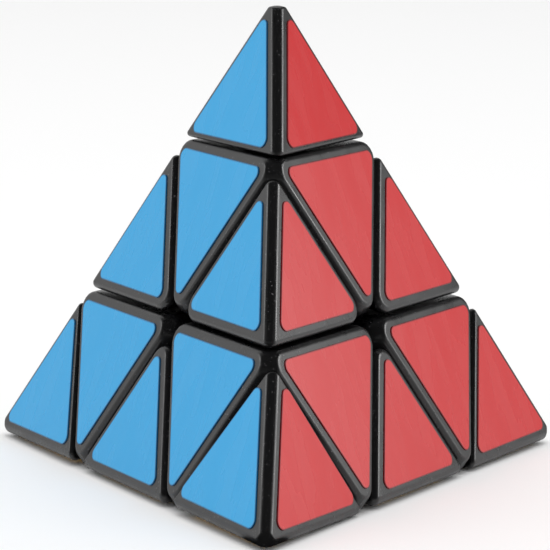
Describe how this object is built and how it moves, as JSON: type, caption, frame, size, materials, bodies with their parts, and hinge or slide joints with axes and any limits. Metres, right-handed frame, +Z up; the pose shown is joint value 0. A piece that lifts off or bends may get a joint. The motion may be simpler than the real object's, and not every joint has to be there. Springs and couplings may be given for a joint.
{
  "type": "pyramid twisty puzzle",
  "caption": "Tetrahedral twisty puzzle of black plastic pieces with triangular coloured stickers; layers and corner tips turn about the corner axes of a sprung inner core.",
  "frame": {"origin": "the centre of the puzzle, where the four turning axes meet", "axes": "+Z up along the turning axis of the top corner, -Y towards the front corner, +X to the right, parallel to the base edge between the left and right corners"},
  "size_m": [0.0974, 0.0849, 0.0802],
  "materials": {
    "black_abs": "semi-gloss moulded black ABS with soft fillets",
    "core_abs": "plain moulded black ABS, unpolished",
    "screw_steel": "zinc-plated steel",
    "spring_steel": "drawn spring wire",
    "sticker_blue": "light blue vinyl film with a satin sheen",
    "sticker_red": "coral red vinyl film with a satin sheen",
    "sticker_green": "green vinyl film with a satin sheen",
    "sticker_yellow": "yellow vinyl film with a satin sheen"
  },
  "bodies": {
    "core": {"core": "core_abs", "screw_top": "screw_steel", "spring_top": "spring_steel", "screw_front": "screw_steel", "spring_front": "spring_steel", "screw_left": "screw_steel", "spring_left": "spring_steel", "screw_right": "screw_steel", "spring_right": "spring_steel"},
    "layer_top": {"centre_top": "black_abs", "sticker_rear_centre_top": "sticker_green", "sticker_right_centre_top": "sticker_red", "sticker_left_centre_top": "sticker_blue"},
    "layer_front": {"centre_front": "black_abs", "sticker_bottom_centre_front": "sticker_yellow", "sticker_right_centre_front": "sticker_red", "sticker_left_centre_front": "sticker_blue"},
    "layer_left": {"centre_left": "black_abs", "sticker_bottom_centre_left": "sticker_yellow", "sticker_rear_centre_left": "sticker_green", "sticker_left_centre_left": "sticker_blue"},
    "layer_right": {"centre_right": "black_abs", "sticker_bottom_centre_right": "sticker_yellow", "sticker_rear_centre_right": "sticker_green", "sticker_right_centre_right": "sticker_red"},
    "tip_top": {"tip_top": "black_abs", "sticker_rear_tip_top": "sticker_green", "sticker_right_tip_top": "sticker_red", "sticker_left_tip_top": "sticker_blue"},
    "tip_front": {"tip_front": "black_abs", "sticker_bottom_tip_front": "sticker_yellow", "sticker_right_tip_front": "sticker_red", "sticker_left_tip_front": "sticker_blue"},
    "tip_left": {"tip_left": "black_abs", "sticker_bottom_tip_left": "sticker_yellow", "sticker_rear_tip_left": "sticker_green", "sticker_left_tip_left": "sticker_blue"},
    "tip_right": {"tip_right": "black_abs", "sticker_bottom_tip_right": "sticker_yellow", "sticker_rear_tip_right": "sticker_green", "sticker_right_tip_right": "sticker_red"},
    "edge_top_front": {"edge_top_front": "black_abs", "sticker_right_edge_top_front": "sticker_red", "sticker_left_edge_top_front": "sticker_blue"},
    "edge_top_left": {"edge_top_left": "black_abs", "sticker_rear_edge_top_left": "sticker_green", "sticker_left_edge_top_left": "sticker_blue"},
    "edge_top_right": {"edge_top_right": "black_abs", "sticker_rear_edge_top_right": "sticker_green", "sticker_right_edge_top_right": "sticker_red"},
    "edge_front_left": {"edge_front_left": "black_abs", "sticker_bottom_edge_front_left": "sticker_yellow", "sticker_left_edge_front_left": "sticker_blue"},
    "edge_front_right": {"edge_front_right": "black_abs", "sticker_bottom_edge_front_right": "sticker_yellow", "sticker_right_edge_front_right": "sticker_red"},
    "edge_left_right": {"edge_left_right": "black_abs", "sticker_bottom_edge_left_right": "sticker_yellow", "sticker_rear_edge_left_right": "sticker_green"}
  },
  "joints": [
    {"name": "top_turn", "type": "hinge", "parent": "core", "child": "layer_top", "pos_m": [0, 0, 0], "axis": [0, 0, 1], "range_deg": [-120, 240]},
    {"name": "front_turn", "type": "hinge", "parent": "core", "child": "layer_front", "pos_m": [0, 0, 0], "axis": [0, -0.9428, -0.3333], "range_deg": [-120, 240]},
    {"name": "left_turn", "type": "hinge", "parent": "core", "child": "layer_left", "pos_m": [0, 0, 0], "axis": [-0.8165, 0.4714, -0.3333], "range_deg": [-120, 240]},
    {"name": "right_turn", "type": "hinge", "parent": "core", "child": "layer_right", "pos_m": [0, 0, 0], "axis": [0.8165, 0.4714, -0.3333], "range_deg": [-120, 240]},
    {"name": "top_tip_turn", "type": "hinge", "parent": "layer_top", "child": "tip_top", "pos_m": [0, 0, 0], "axis": [0, 0, 1], "continuous": true},
    {"name": "front_tip_turn", "type": "hinge", "parent": "layer_front", "child": "tip_front", "pos_m": [0, 0, 0], "axis": [0, -0.9428, -0.3333], "continuous": true},
    {"name": "left_tip_turn", "type": "hinge", "parent": "layer_left", "child": "tip_left", "pos_m": [0, 0, 0], "axis": [-0.8165, 0.4714, -0.3333], "continuous": true},
    {"name": "right_tip_turn", "type": "hinge", "parent": "layer_right", "child": "tip_right", "pos_m": [0, 0, 0], "axis": [0.8165, 0.4714, -0.3333], "continuous": true},
    {"name": "edge_top_front_follow", "type": "hinge", "parent": "layer_top", "child": "edge_top_front", "pos_m": [0, 0, 0], "axis": [0, -0.9428, -0.3333], "range_deg": [-120, 240]},
    {"name": "edge_top_left_follow", "type": "hinge", "parent": "layer_top", "child": "edge_top_left", "pos_m": [0, 0, 0], "axis": [-0.8165, 0.4714, -0.3333], "range_deg": [-120, 240]},
    {"name": "edge_top_right_follow", "type": "hinge", "parent": "layer_top", "child": "edge_top_right", "pos_m": [0, 0, 0], "axis": [0.8165, 0.4714, -0.3333], "range_deg": [-120, 240]},
    {"name": "edge_front_left_follow", "type": "hinge", "parent": "layer_front", "child": "edge_front_left", "pos_m": [0, 0, 0], "axis": [-0.8165, 0.4714, -0.3333], "range_deg": [-120, 240]},
    {"name": "edge_front_right_follow", "type": "hinge", "parent": "layer_right", "child": "edge_front_right", "pos_m": [0, 0, 0], "axis": [0, -0.9428, -0.3333], "range_deg": [-120, 240]},
    {"name": "edge_left_right_follow", "type": "hinge", "parent": "layer_left", "child": "edge_left_right", "pos_m": [0, 0, 0], "axis": [0.8165, 0.4714, -0.3333], "range_deg": [-120, 240]}
  ],
  "couplings": [
    {"joint": "edge_top_front_follow", "follows": "front_turn", "ratio": 1},
    {"joint": "edge_top_left_follow", "follows": "left_turn", "ratio": 1},
    {"joint": "edge_top_right_follow", "follows": "right_turn", "ratio": 1},
    {"joint": "edge_front_left_follow", "follows": "left_turn", "ratio": 1},
    {"joint": "edge_front_right_follow", "follows": "front_turn", "ratio": 1},
    {"joint": "edge_left_right_follow", "follows": "right_turn", "ratio": 1}
  ]
}
